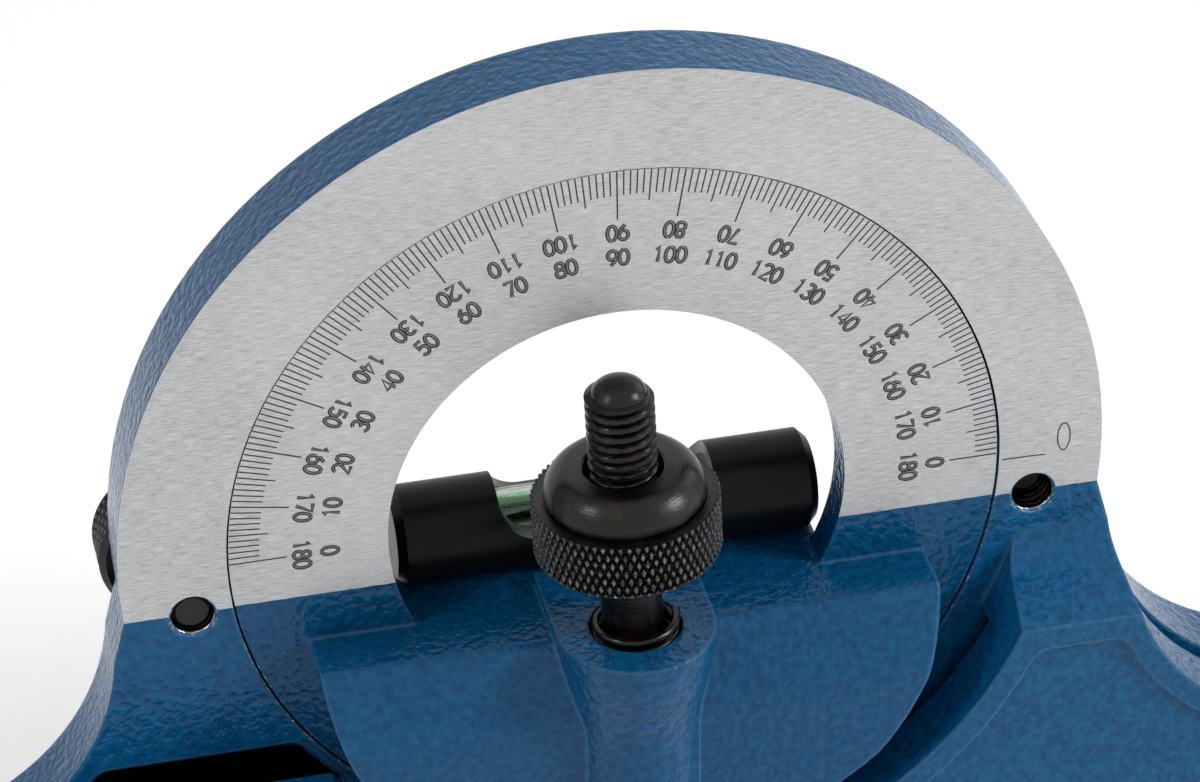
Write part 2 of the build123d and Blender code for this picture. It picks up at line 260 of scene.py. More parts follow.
def hammered_enamel(name, deep, light, face_forward, worn_radius):
    """Glossy stove enamel sprayed on a casting: deep blue, dried in an orange peel
    of shallow grains that breaks each reflection into small sharp glints. It is thin
    on the edges, which are painted pale as a highlight, and floors set back behind
    the face are painted nearly black as shade. The scale face is ground afterwards,
    so it shows bare satin metal, and the turned edge beside it is worn bright."""
    material, tree = bare_material(name)
    spot = add(tree, COORDINATES, {}, "Object")
    y = add(tree, SPLIT, {0: spot}, 1)
    z = add(tree, SPLIT, {0: spot}, 2)
    normal = add(tree, "ShaderNodeNewGeometry", {}, "Normal")
    facing = add(tree, SPLIT, {0: normal}, 1)

    # Where the face is ground: on its plane, turned to the reader, above a ragged line
    face_y = -(face_forward + FACE_FORWARD) * MM
    on_face = add(tree, MATH, {0: y, 1: face_y, 2: FACE_SLACK * MM}, operation="COMPARE")
    forward = add(tree, MATH, {0: facing, 1: TOWARD_READER}, operation="LESS_THAN")
    flush = add(tree, MATH, {0: on_face, 1: forward}, operation="MULTIPLY")
    ragged = add(tree, NOISE, {"Vector": spot, "Scale": grain_scale(1.2), "Detail": 2.0})
    line = add(
        tree, RANGE, {0: ragged, LOW_OUT: -LINE_WANDER * MM, HIGH_OUT: LINE_WANDER * MM}
    )
    height = add(tree, MATH, {0: z, 1: line}, operation="ADD")
    above = add(
        tree, MATH, {0: height, 1: (GROUND_LINE + TURRET_HEIGHT) * MM}, operation="GREATER_THAN"
    )
    ground = add(tree, MATH, {0: flush, 1: above}, operation="MULTIPLY")

    # Ground face: fine scratches that run along the base, dark specks, faint clouds.
    # The scratches are drawn about three times as coarse as grit leaves them, to show.
    along = add(tree, STRETCH, {"Vector": spot, "Scale": (0.06, 1, 1)})
    scratches = add(
        tree,
        NOISE,
        {"Vector": along, "Scale": grain_scale(0.10), "Detail": 3.0, "Roughness": 0.66},
    )
    pits = add(tree, STRETCH, {"Vector": spot, "Scale": (0.55, 1, 1)})
    specks = add(tree, NOISE, {"Vector": pits, "Scale": grain_scale(0.30), "Detail": 2.0})
    clouds = add(tree, NOISE, {"Vector": spot, "Scale": grain_scale(14), "Detail": 1.0})
    scratched = add(tree, RANGE, {0: scratches, LOW_IN: 0.32, HIGH_IN: 0.68})
    specked = add(tree, RANGE, {0: specks, LOW_IN: 0.56, HIGH_IN: 0.78, HIGH_OUT: 0.40})
    clouded = add(tree, RANGE, {0: clouds, LOW_IN: 0.3, HIGH_IN: 0.75, HIGH_OUT: 0.28})
    grey = linear("#98989a")
    for share, shade in ((scratched, "#cacaca"), (specked, "#808081"), (clouded, "#cfcfcf")):
        grey = add(
            tree,
            MIX,
            {0: share, COLOUR_A: grey, COLOUR_B: linear(shade)},
            COLOUR_OUT,
            data_type="RGBA",
        )

    # Enamel: the grains are under 1 mm wide and shallow, with a finer peel on them.
    dimples = add(
        tree,
        NOISE,
        {"Vector": spot, "Scale": grain_scale(0.80), "Detail": 1.5, "Roughness": 0.45},
    )
    peel = add(tree, NOISE, {"Vector": spot, "Scale": grain_scale(0.45), "Detail": 2.0})
    pool = add(tree, RANGE, {0: dimples, LOW_IN: 0.3, HIGH_IN: 0.7})

    # The casting's edges are rounded under the enamel, which is thin there, and they are painted
    # pale blue as a highlight.
    rounded = add(tree, "ShaderNodeBevel", {"Radius": EDGE_ROUNDING * MM}, samples=4)
    same_way = add(tree, VECTOR, {0: rounded, 1: normal}, 1, operation="DOT_PRODUCT")
    # The share of painted edge highlight, on convex and concave edges alike.
    thin = add(tree, RANGE, {0: same_way, LOW_IN: 0.985, HIGH_IN: 0.90, HIGH_OUT: 0.55})

    # Turned edge and wall beside the gap: bare, and rubbed bright in specks in front.
    centred = add(tree, VECTOR, {0: spot, 1: (0, 0, TURRET_HEIGHT * MM)}, operation="SUBTRACT")
    flat = add(tree, VECTOR, {0: centred, 1: (1, 0, 1)}, operation="MULTIPLY")
    radius = add(tree, VECTOR, {0: flat}, 1, operation="LENGTH")
    at_edge = add(
        tree, MATH, {0: radius, 1: worn_radius * MM, 2: EDGE_SLACK * MM}, operation="COMPARE"
    )
    rubbed = add(tree, NOISE, {"Vector": spot, "Scale": grain_scale(0.45), "Detail": 3.0})
    rubbed = add(tree, RANGE, {0: rubbed, LOW_IN: 0.50, HIGH_IN: 0.62})
    in_front = add(tree, MATH, {0: y, 1: face_y + WORN_DEPTH * MM}, operation="LESS_THAN")
    worn = add(tree, MATH, {0: at_edge, 1: in_front}, operation="MULTIPLY")
    worn = add(tree, MATH, {0: worn, 1: rubbed}, operation="MULTIPLY")

    # A floor set back behind the face holds little paint, and it is painted nearly black as shade.
    behind = add(tree, MATH, {0: y, 1: face_y + PAINTED_SHADE_DEPTH * MM}, operation="GREATER_THAN")
    floor_painted_shade = add(tree, MATH, {0: behind, 1: forward}, operation="MULTIPLY")

    # Tapped lock-screw holes: bare threads drawn as bands of painted highlight and painted shade,
    # and a mouth where the tap broke the paint.
    left, right = (
        add(tree, VECTOR, {0: flat, 1: (x * MM, 0, LOCK_Z * MM)}, 1, operation="DISTANCE")
        for x in (-LOCK_X, LOCK_X)
    )
    nearest = add(tree, MATH, {0: left, 1: right}, operation="MINIMUM")
    mouth = add(
        tree,
        MATH,
        {0: nearest, 1: (LOCK_HOLE_WALL + MOUTH_REACH) * MM, 2: MOUTH_SLACK * MM},
        operation="COMPARE",
    )
    mouth = add(tree, MATH, {0: mouth, 1: rubbed}, operation="MULTIPLY")
    wall = add(tree, MATH, {0: nearest, 1: LOCK_HOLE_WALL * MM}, operation="LESS_THAN")
    # Along the wall, bands one pitch apart: the crests are painted light as a highlight, and the
    # roots are painted dark as shade.
    depth = add(tree, MATH, {0: y, 1: 2 * math.pi / (LOCK_PITCH * MM)}, operation="MULTIPLY")
    thread = add(tree, MATH, {0: depth}, operation="SINE")
    crest_highlight = add(tree, RANGE, {0: thread, LOW_IN: -1.0, HIGH_IN: 1.0})
    thread_painted_light = add(
        tree,
        MIX,
        {0: crest_highlight, COLOUR_A: linear("#262626"), COLOUR_B: linear("#c8c6c2")},
        COLOUR_OUT,
        data_type="RGBA",
    )

    # Over the deep blue go random paler pools, the painted edge highlight, worn specks, painted
    # shade on floors behind the face, the tap's broken paint, the painted thread bands, and the
    # ground face.
    colour = linear(deep)
    for share, shade in (
        (pool, linear(light)),
        (thin, linear("#4a83ab")),
        (worn, linear("#c4c7c9")),
        (floor_painted_shade, linear("#04090d")),
        (mouth, linear("#8fa0ad")),
        (wall, thread_painted_light),
        (ground, grey),
    ):
        colour = add(
            tree, MIX, {0: share, COLOUR_A: colour, COLOUR_B: shade}, COLOUR_OUT, data_type="RGBA"
        )
    bare = add(tree, MATH, {0: worn, 1: wall}, operation="MAXIMUM")
    bare = add(tree, MATH, {0: bare, 1: ground}, operation="MAXIMUM")
    enamel_rough = add(
        tree, RANGE, {0: dimples, LOW_IN: 0.3, HIGH_IN: 0.7, LOW_OUT: 0.16, HIGH_OUT: 0.08}
    )
    rough = add(tree, MIX, {0: ground, MIX_A: enamel_rough, MIX_B: 0.48})
    enamel_relief = add(tree, MATH, {0: peel, 1: 0.30, 2: dimples}, operation="MULTIPLY_ADD")
    ground_relief = add(tree, MATH, {0: scratches, 1: 0.05}, operation="MULTIPLY")
    relief = add(tree, MIX, {0: ground, MIX_A: enamel_relief, MIX_B: ground_relief})
    shell = add(
        tree, MIX, {0: ground, VECTOR_A: rounded, VECTOR_B: normal}, VECTOR_OUT, data_type="VECTOR"
    )
    bump = add(
        tree,
        BUMP,
        {"Height": relief, "Strength": 1.0, "Distance": 0.19 * MM, "Normal": shell},
    )
    skin = add(
        tree,
        SKIN,
        {
            "Base Color": colour,
            "Metallic": bare,
            "Roughness": rough,
            "Normal": bump,
            "IOR": 1.3,
        },
    )
    add(tree, OUTPUT, {"Surface": skin})
    return material


# How far the ring marks of a blackened piece stray, as a share of the distance out
RING_WANDER = 0.06
# How far beyond its worn reach, in millimetres, a knurl is rubbed fully bare
TIP_FADE = 0.12
# How deep under the level tube's outside, in millimetres, the bare wall starts
PAINT_SKIN = 0.04


def black_oxide(name, thin, thick, roughness, axis_foot, axis, worn_reach):
    """Steel turned or drawn, then blackened hot in an oxide bath and oiled: a glassy
    black film with sharp highlights, marks round the given axis that draw the
    highlights out, and brown where the film is thin. Beyond a reach from the axis, on
    the tips of a knurl, fingers have rubbed it back to steel."""
    material, tree = bare_material(name)
    spot = add(tree, COORDINATES, {}, "Object")
    blotches = add(tree, NOISE, {"Vector": spot, "Scale": grain_scale(2.2), "Detail": 4.0})
    centred = add(tree, VECTOR, {0: spot, 1: axis_foot}, operation="SUBTRACT")
    outward = add(tree, VECTOR, {0: centred, 1: axis}, operation="CROSS_PRODUCT")
    radius = add(tree, VECTOR, {0: outward}, 1, operation="LENGTH")
    along = add(tree, VECTOR, {0: centred, 1: axis}, 1, operation="DOT_PRODUCT")
    turned = add(tree, VECTOR, {0: outward, 1: (RING_WANDER,) * 3}, operation="MULTIPLY")
    rings = add(tree, "ShaderNodeCombineXYZ", {0: radius, 2: along})
    rings = add(tree, VECTOR, {0: rings, 1: turned}, operation="ADD")
    marks = add(tree, NOISE, {"Vector": rings, "Scale": grain_scale(0.12), "Detail": 3.0})
    share = add(tree, RANGE, {0: blotches, LOW_IN: 0.52, HIGH_IN: 0.72})
    colour = add(
        tree,
        MIX,
        {0: share, COLOUR_A: linear(thick), COLOUR_B: linear(thin)},
        COLOUR_OUT,
        data_type="RGBA",
    )
    tips = add(
        tree,
        RANGE,
        {0: radius, LOW_IN: worn_reach * MM, HIGH_IN: (worn_reach + TIP_FADE) * MM},
    )
    patches = add(tree, NOISE, {"Vector": spot, "Scale": grain_scale(0.35), "Detail": 2.0})
    patches = add(tree, RANGE, {0: patches, LOW_IN: 0.38, HIGH_IN: 0.62})
    worn = add(tree, MATH, {0: tips, 1: patches}, operation="MULTIPLY")
    colour = add(
        tree,
        MIX,
        {0: worn, COLOUR_A: colour, COLOUR_B: linear("#6e6f70")},
        COLOUR_OUT,
        data_type="RGBA",
    )
    rough = add(tree, RANGE, {0: marks, LOW_OUT: roughness - 0.08, HIGH_OUT: roughness + 0.16})
    bump = add(tree, BUMP, {"Height": marks, "Strength": 1.0, "Distance": 0.04 * MM})
    skin = add(
        tree,
        SKIN,
        {
            "Base Color": colour,
            "Metallic": worn,
            "IOR": 1.38,
            "Roughness": rough,
            "Normal": bump,
        },
    )
    add(tree, OUTPUT, {"Surface": skin})
    return material


def grained(name, light, dark, metallic, roughness, grain_mm, bump_mm, stretch=(1, 1, 1)):
    """A quiet finish: two close shades in a real grain, a varying shine, a fine bump."""
    material, tree = bare_material(name)
    spot = add(tree, COORDINATES, {}, "Object")
    drawn = add(tree, STRETCH, {"Vector": spot, "Scale": stretch})
    grain = add(tree, NOISE, {"Vector": drawn, "Scale": grain_scale(grain_mm), "Detail": 3.0})
    colour = add(
        tree,
        MIX,
        {0: grain, COLOUR_A: linear(dark), COLOUR_B: linear(light)},
        COLOUR_OUT,
        data_type="RGBA",
    )
    rough = add(tree, RANGE, {0: grain, LOW_OUT: roughness - 0.06, HIGH_OUT: roughness + 0.06})
    bump = add(tree, BUMP, {"Height": grain, "Strength": 0.3, "Distance": bump_mm * MM})
    skin = add(
        tree,
        SKIN,
        {"Base Color": colour, "Metallic": metallic, "Roughness": rough, "Normal": bump},
    )
    add(tree, OUTPUT, {"Surface": skin})
    return material


def clear_finish(name, colour, ior, roughness):
    """Clear glass or liquid, with a trace of ripple so its shine isn't perfect."""
    material, tree = bare_material(name)
    spot = add(tree, COORDINATES, {}, "Object")
    ripple = add(tree, NOISE, {"Vector": spot, "Scale": grain_scale(2.0), "Detail": 1.0})
    bump = add(tree, BUMP, {"Height": ripple, "Strength": 0.05, "Distance": 0.02 * MM})
    skin = add(
        tree,
        SKIN,
        {
            "Base Color": linear(colour),
            "Transmission Weight": 1.0,
            "IOR": ior,
            "Roughness": roughness,
            "Normal": bump,
        },
    )
    add(tree, OUTPUT, {"Surface": skin})
    return material


def black_tube_paint(name):
    """Semi-gloss black paint on a drawn tube. Where the window was milled the
    wall is bare and bright."""
    material, tree = bare_material(name)
    spot = add(tree, COORDINATES, {}, "Object")
    grain = add(tree, NOISE, {"Vector": spot, "Scale": grain_scale(0.4), "Detail": 3.0})
    middle = (0, (LEVEL_BACK - FACE_FORWARD) * MM, (LEVEL_Z + TURRET_HEIGHT) * MM)
    centred = add(tree, VECTOR, {0: spot, 1: middle}, operation="SUBTRACT")
    across = add(tree, VECTOR, {0: centred, 1: (0, 1, 1)}, operation="MULTIPLY")
    radius = add(tree, VECTOR, {0: across}, 1, operation="LENGTH")
    inside = add(
        tree, MATH, {0: radius, 1: (LEVEL_TUBE_RADIUS - PAINT_SKIN) * MM}, operation="LESS_THAN"
    )
    along = add(tree, SPLIT, {0: spot}, 0)
    near = add(tree, MATH, {0: along, 1: 0.0, 2: LEVEL_NOTCH_REACH * MM}, operation="COMPARE")
    cut = add(tree, MATH, {0: inside, 1: near}, operation="MULTIPLY")
    paint = add(
        tree,
        MIX,
        {0: grain, COLOUR_A: linear("#060707"), COLOUR_B: linear("#0d0e0e")},
        COLOUR_OUT,
        data_type="RGBA",
    )
    colour = add(
        tree,
        MIX,
        {0: cut, COLOUR_A: paint, COLOUR_B: linear("#565954")},
        COLOUR_OUT,
        data_type="RGBA",
    )
    rough = add(tree, RANGE, {0: grain, LOW_OUT: 0.28, HIGH_OUT: 0.40})
    bump = add(tree, BUMP, {"Height": grain, "Strength": 0.2, "Distance": 0.02 * MM})
    skin = add(
        tree,
        SKIN,
        {
            "Base Color": colour,
            "Metallic": cut,
            "Roughness": rough,
            "Normal": bump,
            "IOR": 1.22,
        },
    )
    add(tree, OUTPUT, {"Surface": skin})
    return material


bolt_foot = place(0, BOLT_FORWARD, BOLT_LEAN_HEIGHT)
bolt_axis = (-math.sin(BOLT_LEAN), 0, math.cos(BOLT_LEAN))
# The two knobs share one material, so its marks run round the line midway between them.
knob_foot, knob_axis = place(0, 0, LOCK_Z), (0, 1, 0)
# Fingers reach only the tips of the nut's knurl. The other reach lies beyond every piece.
NUT_TIPS, NO_WEAR = 8.19, 100

# The frame shows a slightly lighter blue than the turret, as in the photo.
# This lighter copy of the enamel is painted light: the frame's panels face the key lamp.
frame_enamel = hammered_enamel(
    "frame_hammered_enamel", "#034873", "#085b8b", 0.0, BORE_RADIUS + 0.03
)
turret_enamel = hammered_enamel(
    "turret_hammered_enamel", "#03436c", "#075582", -TURRET_FACE_RECESS, TURRET_RADIUS - 0.03
)
oxide = black_oxide(
    "black_oxide_steel", "#20140c", "#020303", 0.18, bolt_foot, bolt_axis, NO_WEAR
)
nut_oxide = black_oxide(
    "black_oxide_knurled_steel", "#20140c", "#020303", 0.21, bolt_foot, bolt_axis, NUT_TIPS
)
knob_oxide = black_oxide(
    "black_oxide_knob", "#1a1715", "#0a0a0a", 0.26, knob_foot, knob_axis, NO_WEAR
)
tube_paint = black_tube_paint("black_tube_paint")
# Black filler in a cut groove: flat and dull, so the lines and numbers read dark.
etched = grained("etched_black_lines", "#2c2c2d", "#191919", 0.0, 0.6, 0.3, 0.01)
# The middle of a number's groove, where the filler has gone: thin grey metal.
etched_core = grained("etched_groove_floor", "#8c8c8c", "#6a6a6a", 0.6, 0.5, 0.3, 0.01)
spring_wire = black_oxide(
    "blackened_spring_wire", "#181210", "#040404", 0.16, bolt_foot, bolt_axis, NO_WEAR
)
# Zinc plate, passivated bright: pale grey with a soft shine.
zinc = grained("bright_zinc_plate", "#b8bab8", "#8e918f", 1.0, 0.35, 0.6, 0.01)
# Setting plaster, pressed in wet: matt, and painted green for the light that reaches it through
# the spirit before it.
plaster = grained("setting_plaster", "#5f6e60", "#4c584d", 0.0, 0.8, 0.5, 0.05)
# Drawn glass tube: clear, with sharp reflections.
glass = clear_finish("drawn_vial_glass", "#eef6ee", 1.5, 0.02)
# Dyed alcohol: clear, deep green.
spirit = clear_finish("tinted_level_spirit", "#119a3a", 1.36, 0.0)

node_materials = {
    "frame": frame_enamel,
    "turret": turret_enamel,
    "clamp_bolt": oxide,
    "clamp_nut": nut_oxide,
    "clamp_spring": spring_wire,
    "lock_screw_left": knob_oxide,
    "lock_screw_right": knob_oxide,
    "lock_washer_left": zinc,
    "lock_washer_right": zinc,
    "level_tube": tube_paint,
    "level_plug_left": tube_paint,
    "level_plug_right": tube_paint,
    "level_vial": glass,
    "level_liquid": spirit,
    "level_bedding": plaster,
    "level_screw_left": zinc,
    "level_screw_right": zinc,
}
for node_name, node_material in node_materials.items():
    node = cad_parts[node_name]
    node.data.materials.clear()
    node.data.materials.append(node_material)


def clamp_bolt():
    """The clamp bolt: a thread as fine as the photographed one, up to the low dome
    that ends it."""
    crest, pitch, depth, runout = 3.05, 1.0, 0.5, 0.6
    head, head_low, head_high, shank, thread_end = 3.6, -32.3, -26.3, 2.75, -2.0
    ball, ball_rise, tip, collar = 2.42, 1.4, 18.2, 0.1
    ball_foot = tip - ball_rise
    profile = [(0, head_low), (head, head_low), (head, head_high), (shank, head_high)]
    profile += [(shank, thread_end)]
    profile += densified([(crest, thread_end + 0.3), (crest, ball_foot - 0.25)], THREAD_STEP)
    profile += [(ball + collar, ball_foot - 0.02)]
    profile += quarter(ball, ball_foot, 0, tip, 12)
    shape = spun(profile, 96)
    cut_thread(shape, crest, depth, pitch, thread_end, ball_foot - 0.2, runout)
    return shape


def clamp_nut():
    """The knurled nut: a diamond-knurled rim, a neck, and a domed top with a mouth."""
    bottom, rim, top = 0.7, 8.32, 9.25
    band_height, knurl_depth, knurl_count = 5.45, 0.42, 68
    knurl_top = bottom + band_height
    cut, dome_foot = 0.3, knurl_top + 0.3
    neck, dome, dome_top, mouth, bore, foot = 6.85, 7.15, 4.9, 3.55, 3.2, 3.9
    profile = [(bore, bottom + 0.5), (foot, bottom), (rim - cut, bottom)]
    profile += densified([(rim, bottom + cut), (rim, knurl_top)], 0.11)
    profile += [(neck, knurl_top), (neck, dome_foot)]
    profile += quarter(dome, dome_foot, dome_top, top - 0.08, 16)
    profile += [(mouth + 0.2, top), (mouth, top - 0.15), (mouth, top - 2.0), (bore, top - 2.6)]
    profile += [profile[0]]
    shape = spun(profile, 10 * knurl_count)
    press_knurl(shape, rim, knurl_depth, knurl_count, bottom + cut - 0.01, top)
    return shape


bolt_piece = finish_piece(
    "clamp_bolt_threaded", clamp_bolt(), leaned(), oxide, "clamp_bolt"
)
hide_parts("clamp_bolt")
nut_piece = finish_piece(
    "clamp_nut_knurled", clamp_nut(), leaned(), nut_oxide, "clamp_nut"
)
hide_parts("clamp_nut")


def clamp_spring():
    """The coil spring in the mouth of the boss, wound from round wire."""
    wire, wire_sides, coil, turns, steps_a_turn = 0.38, 12, 3.62, 5, 48
    low, high = -13.22, -7.28
    steps = turns * steps_a_turn
    shape = bmesh.new()
    stand = Matrix.Translation((coil, 0, low)) @ Matrix.Rotation(math.pi / 2, 4, "X")
    bmesh.ops.create_circle(shape, segments=wire_sides, radius=wire, matrix=stand)
    bmesh.ops.spin(
        shape,
        geom=shape.verts[:] + shape.edges[:],
        cent=(0, 0, 0),
        axis=(0, 0, 1),
        dvec=(0, 0, (high - low) / steps),
        angle=2 * math.pi * turns,
        steps=steps,
    )
    bmesh.ops.holes_fill(shape, edges=shape.edges)
    return shape


spring_piece = finish_piece(
    "clamp_spring_wound",
    clamp_spring(),
    from_turret_centre() @ Matrix.Translation((0, -BOLT_FORWARD, 0)),
    spring_wire,
    "turret",
)
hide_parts("clamp_spring")


def lock_screw():
    """A lock screw: M4 thread, a neck that carries the washer, and a knurled head."""
    tip, point = -(PLATE_BACK - 0.7), 0.4
    thread, thread_depth, neck, head = 1.85, 0.38, 3.4, 7.0
    neck_start, head_start, head_end, cut = 1.2, 2.2, 7.7, 0.6
    dimple, dimple_depth = 1.6, 0.2
    knurl_depth, knurl_count = 0.34, 52
    profile = [(0, tip), (thread - point, tip)]
    profile += densified([(thread, tip + point), (thread, neck_start)], THREAD_STEP)
    profile += [(neck, neck_start), (neck, head_start), (head - cut, head_start)]
    profile += densified([(head, head_start + cut), (head, head_end - cut)], 0.12)
    profile += [(head - cut, head_end), (dimple, head_end)]
    profile += [(1.4, head_end - dimple_depth), (0, head_end - dimple_depth)]
    shape = spun(profile, 6 * knurl_count)
    cut_thread(shape, thread, thread_depth, LOCK_PITCH, tip + 0.2, neck_start - 0.1, 0.2)
    press_knurl(shape, head, knurl_depth, knurl_count, head_start + cut, head_end - cut)
    return shape


# The left screw stands home at rest, and the right one is backed out.
for side, sign, backoff in (("left", -1, 0.0), ("right", 1, LOCK_RIGHT_BACKOFF)):
    screw = finish_piece(
        f"lock_screw_{side}_knurled",
        lock_screw(),
        out_of_the_back(sign * LOCK_X, backoff),
        knob_oxide,
        f"lock_screw_{side}",
    )
    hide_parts(f"lock_screw_{side}")

# The degree scale was cut a little off the turret's centre, to the right. Its lines
# stop just short of the turret's edge. Each line's rank gives where it starts, from the
# scale's centre, and how wide it is.
SCALE_SHIFT = 0.35
RIM_MARGIN = 0.04
LINE_DEPTH = 0.02
DEGREE_LINE, FIFTH_LINE, TENTH_LINE = (32.6, 0.13), (31.85, 0.13), (30.2, 0.14)


def rim_reach(angle):
    """How far a line runs from the scale's centre before it meets the turret's edge."""
    edge = TURRET_RADIUS - RIM_MARGIN
    ahead = SCALE_SHIFT * math.cos(angle)
    return -ahead + math.sqrt(ahead**2 + edge**2 - SCALE_SHIFT**2)


def scale_lines():
    """A line for each degree, longer at each fifth and longest at each tenth."""
    shape = bmesh.new()
    for degree in range(181):
        angle = math.radians(degree)
        inner, width = DEGREE_LINE
        if degree % 10 == 0:
            inner, width = TENTH_LINE
        elif degree % 5 == 0:
            inner, width = FIFTH_LINE
        outer = rim_reach(angle)
        turn = Matrix.Rotation(-angle, 4, "Y")
        middle = Matrix.Translation(((outer + inner) / 2, 0, 0))
        size = Matrix.Diagonal((outer - inner, LINE_DEPTH, width, 1))
        bmesh.ops.create_cube(shape, size=1, matrix=turn @ middle @ size)
    return shape


on_frame_face = from_turret_centre()
on_turret_face = from_turret_centre() @ Matrix.Translation((0, TURRET_FACE_RECESS, 0))
on_scale = on_turret_face @ Matrix.Translation((SCALE_SHIFT, 0, 0))
finish_piece(
    "scale_lines", scale_lines(), on_scale, etched, "turret", smooth=False
)


def bow(x, z, wide, tall, start, end, count=12):
    """Points along an elliptic bow, from one angle to another, in degrees."""
    points = []
    for i in range(count + 1):
        angle = math.radians(start + (end - start) * i / count)
        points.append((x + wide * math.cos(angle), z + tall * math.sin(angle)))
    return points


# Each figure as strokes in a box 0.6 wide and 1 high, and half of that box
HALF_WIDE, HALF_TALL = 0.3, 0.5
FIGURES = {
    "0": [bow(0.3, 0.5, 0.27, 0.5, 90, 450, 20)],
    "1": [[(0.12, 0.78), (0.30, 1.0), (0.30, 0.0)]],
    "2": [bow(0.3, 0.71, 0.27, 0.29, 165, -35) + [(0.03, 0.0), (0.58, 0.0)]],
    "3": [bow(0.29, 0.75, 0.24, 0.25, 150, -90) + bow(0.29, 0.25, 0.28, 0.25, 90, -155)],
    "4": [[(0.43, 0.0), (0.43, 1.0), (0.02, 0.30), (0.60, 0.30)]],
    "5": [[(0.54, 1.0), (0.13, 1.0), (0.08, 0.56)] + bow(0.29, 0.32, 0.28, 0.32, 125, -150)],
    "6": [bow(0.3, 0.31, 0.27, 0.31, 160, 520, 20) + [(0.12, 0.72), (0.40, 1.0)]],
    "7": [[(0.02, 1.0), (0.58, 1.0), (0.20, 0.0)]],
    "8": [bow(0.3, 0.76, 0.22, 0.24, 90, 450, 16), bow(0.3, 0.27, 0.27, 0.27, 90, 450, 16)],
    "9": [bow(0.3, 0.69, 0.27, 0.31, -20, 340, 20) + [(0.48, 0.28), (0.20, 0.0)]],
}


def number(text, height, stroke, advance):
    """A number as engraved strokes, flat and centred on its own middle."""
    curve = bpy.data.curves.new("number", "CURVE")
    curve.dimensions = "3D"
    curve.bevel_depth = stroke / 2 / height
    curve.bevel_resolution = 0
    for place_in_number, figure in enumerate(text):
        start = (place_in_number - (len(text) - 1) / 2) * advance - HALF_WIDE
        for stroke_points in FIGURES[figure]:
            spline = curve.splines.new("POLY")
            spline.points.add(len(stroke_points) - 1)
            for point, (across, up) in zip(spline.points, stroke_points):
                point.co = (across + start, 0, up - HALF_TALL, 1)
    maker = bpy.data.objects.new("number", curve)
    bpy.context.scene.collection.objects.link(maker)
    bpy.context.view_layer.update()
    mesh = bpy.data.meshes.new_from_object(maker)
    bpy.data.objects.remove(maker)
    thin = LINE_DEPTH / stroke
    mesh.transform(Matrix.Diagonal((height, height * thin, height, 1)))
    return mesh


# The numbers' size, the radius of each row, and the width of a stroke and of its core.
# The advance from one figure to the next is a share of the height.
NUMBER_HEIGHT, NUMBER_ADVANCE = 1.5, 0.68
INNER_ROW, OUTER_ROW = 26.35, 28.85
STROKE, STROKE_CORE = 0.37, 0.12


def scale_numbers(stroke, lift):
    """Two rows of tens: the inner reads upright from the left, and the outer
    reads the other way, with its feet toward the rim."""
    shape = bmesh.new()
    for ten in range(19):
        angle = math.radians(10 * ten)
        for radius, text, flip in (
            (INNER_ROW, str(180 - 10 * ten), 0.0),
            (OUTER_ROW, str(10 * ten), math.pi),
        ):
            mesh = number(text, NUMBER_HEIGHT, stroke, NUMBER_ADVANCE)
            turn = Matrix.Rotation(-(angle - math.pi / 2), 4, "Y")
            out = Matrix.Translation((0, -lift, radius))
            mesh.transform(turn @ out @ Matrix.Rotation(flip, 4, "Y"))
            shape.from_mesh(mesh)
            bpy.data.meshes.remove(mesh)
    return shape


finish_piece(
    "scale_numbers",
    scale_numbers(STROKE, 0.0),
    on_scale,
    etched,
    "turret",
    smooth=False,
)
finish_piece(
    "scale_number_grooves",
    scale_numbers(STROKE_CORE, LINE_DEPTH),
    on_scale,
    etched_core,
    "turret",
    smooth=False,
)


def index_mark():
    """The frame's index line beside the turret, with a thin oval after it."""
    line_tilt, line_middle, line_length, line_width = math.radians(1.05), 37.45, 4.0, 0.13
    oval_x, oval_z, oval_wide, oval_tall, oval_sides = 41.2, 0.95, 0.52, 1.4, 40
    shape = bmesh.new()
    turn = Matrix.Rotation(line_tilt, 4, "Y")
    middle = Matrix.Translation((line_middle, 0, 0))
    size = Matrix.Diagonal((line_length, LINE_DEPTH, line_width, 1))
    bmesh.ops.create_cube(shape, size=1, matrix=turn @ middle @ size)
    spot = Matrix.Translation((oval_x, -LINE_DEPTH / 2, oval_z))
    stand = spot @ Matrix.Rotation(math.pi / 2, 4, "X")
    rings = []
    for grow in (0.0, line_width):
        oval = Matrix.Diagonal((oval_wide + grow, oval_tall + grow, 1, 1))
        ring = bmesh.ops.create_circle(
            shape, segments=oval_sides, radius=1, matrix=stand @ oval
        )
        verts = set(ring["verts"])
        rings += [e for e in shape.edges if e.verts[0] in verts and e.verts[1] in verts]
    bmesh.ops.bridge_loops(shape, edges=rings)
    return shape


finish_piece(
    "index_mark", index_mark(), on_frame_face, etched, "frame", smooth=False
)

# The studio, in metres and watts: the floor's reach to each side, the glow of paper and
# sky where they are seen, the sky's strength as a light, and where both lamps aim
FLOOR_REACH = 4.0
PAPER_GLOW = 0.32
SKY_SEEN, SKY_AS_LIGHT = 1.0, 0.42
LAMP_AIM = (0, 0, 0.04)
WHITE = (1, 1, 1, 1)


def seen_straight(tree):
    """1 for what the camera, metal and glass see, and 0 for what only gives light."""
    camera_ray = add(tree, RAY, {}, "Is Camera Ray")
    glossy_ray = add(tree, RAY, {}, "Is Glossy Ray")
    clear_ray = add(tree, RAY, {}, "Is Transmission Ray")
    seen = add(tree, MATH, {0: glossy_ray, 1: clear_ray}, operation="MAXIMUM")
    return add(tree, MATH, {0: camera_ray, 1: seen}, operation="MAXIMUM")


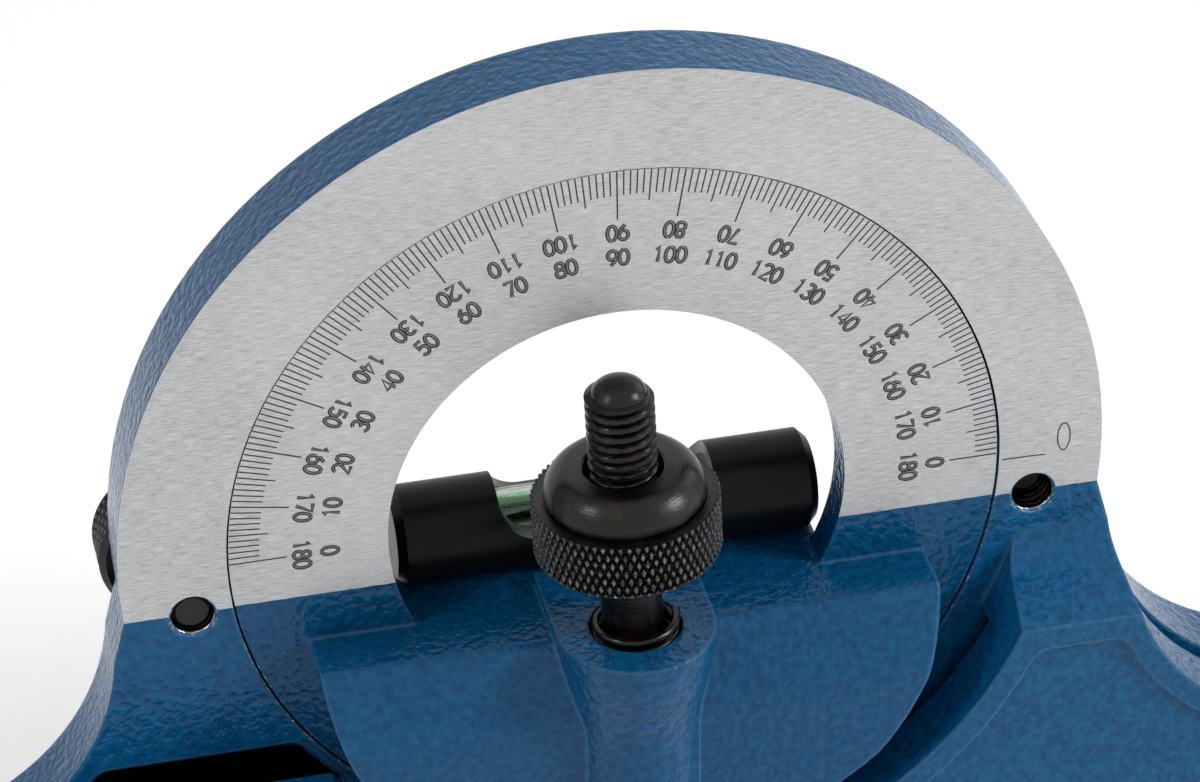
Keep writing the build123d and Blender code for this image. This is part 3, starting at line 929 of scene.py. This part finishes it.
def studio_paper(name, glow):
    """Matt white studio paper. What the camera, metal and glass see of it is lit
    up to white, and it still takes the object's shadow."""
    material, tree = bare_material(name)
    spot = add(tree, COORDINATES, {}, "Object")
    fibres = add(tree, NOISE, {"Vector": spot, "Scale": grain_scale(1.5), "Detail": 2.0})
    colour = add(
        tree,
        MIX,
        {0: fibres, COLOUR_A: linear("#f0f0f0"), COLOUR_B: linear("#f6f6f6")},
        COLOUR_OUT,
        data_type="RGBA",
    )
    strength = add(tree, MATH, {0: seen_straight(tree), 1: glow}, operation="MULTIPLY")
    skin = add(
        tree,
        SKIN,
        {
            "Base Color": colour,
            "Roughness": 0.9,
            "Emission Color": WHITE,
            "Emission Strength": strength,
        },
    )
    add(tree, OUTPUT, {"Surface": skin})
    return material


paper = bmesh.new()
bmesh.ops.create_grid(paper, x_segments=1, y_segments=1, size=FLOOR_REACH)
paper_mesh = bpy.data.meshes.new("floor")
paper.to_mesh(paper_mesh)
paper.free()
floor = bpy.data.objects.new("floor", paper_mesh)
bpy.context.scene.collection.objects.link(floor)
floor.data.materials.append(studio_paper("studio_paper", PAPER_GLOW))

world = bpy.data.worlds.new("studio")
bpy.context.scene.world = world
world.use_nodes = True
sky = world.node_tree
sky.nodes.clear()
sky_strength = add(sky, RANGE, {0: seen_straight(sky), LOW_OUT: SKY_AS_LIGHT, HIGH_OUT: SKY_SEEN})
sky_glow = add(sky, "ShaderNodeBackground", {"Color": WHITE, "Strength": sky_strength})
add(sky, "ShaderNodeOutputWorld", {"Surface": sky_glow})


def lamp(name, spot, aim, power, size):
    """A square area lamp that looks from its spot to its aim."""
    light = bpy.data.lights.new(name, "AREA")
    light.energy = power
    light.size = size
    holder = bpy.data.objects.new(name, light)
    holder.location = spot
    direction = Vector(aim) - Vector(spot)
    holder.rotation_euler = direction.to_track_quat("-Z", "Y").to_euler()
    bpy.context.scene.collection.objects.link(holder)


lamp("key", (0.70, -0.32, 0.46), LAMP_AIM, power=4.6, size=0.24)
lamp("fill", (-0.62, -0.20, 0.56), LAMP_AIM, power=1.5, size=0.20)

# The camera fitted to the photo: its lens and sensor in millimetres, its spot in metres,
# and the directions of the picture's right, of its bottom and of the view
LENS, SENSOR_WIDTH = 143.046, 36.0
NEAREST, FARTHEST = 0.01, 20.0
CAMERA_SPOT = (-0.074546, -0.339794, 0.290647)
RIGHT = Vector((0.97474722, -0.22274224, -0.01592972))
DOWN = Vector((-0.1378277, -0.54395548, -0.82771732))
ONWARD = Vector((0.17570255, 0.80901071, -0.56091914))

camera_data = bpy.data.cameras.new("camera")
camera_data.lens = LENS
camera_data.sensor_fit = "HORIZONTAL"
camera_data.sensor_width = SENSOR_WIDTH
camera_data.clip_start = NEAREST
camera_data.clip_end = FARTHEST
camera = bpy.data.objects.new("camera", camera_data)
turn = Matrix((RIGHT, -DOWN, -ONWARD)).transposed().to_4x4()
camera.matrix_world = Matrix.Translation(CAMERA_SPOT) @ turn
bpy.context.scene.collection.objects.link(camera)
bpy.context.scene.camera = camera
bpy.context.scene.view_settings.view_transform = "Standard"
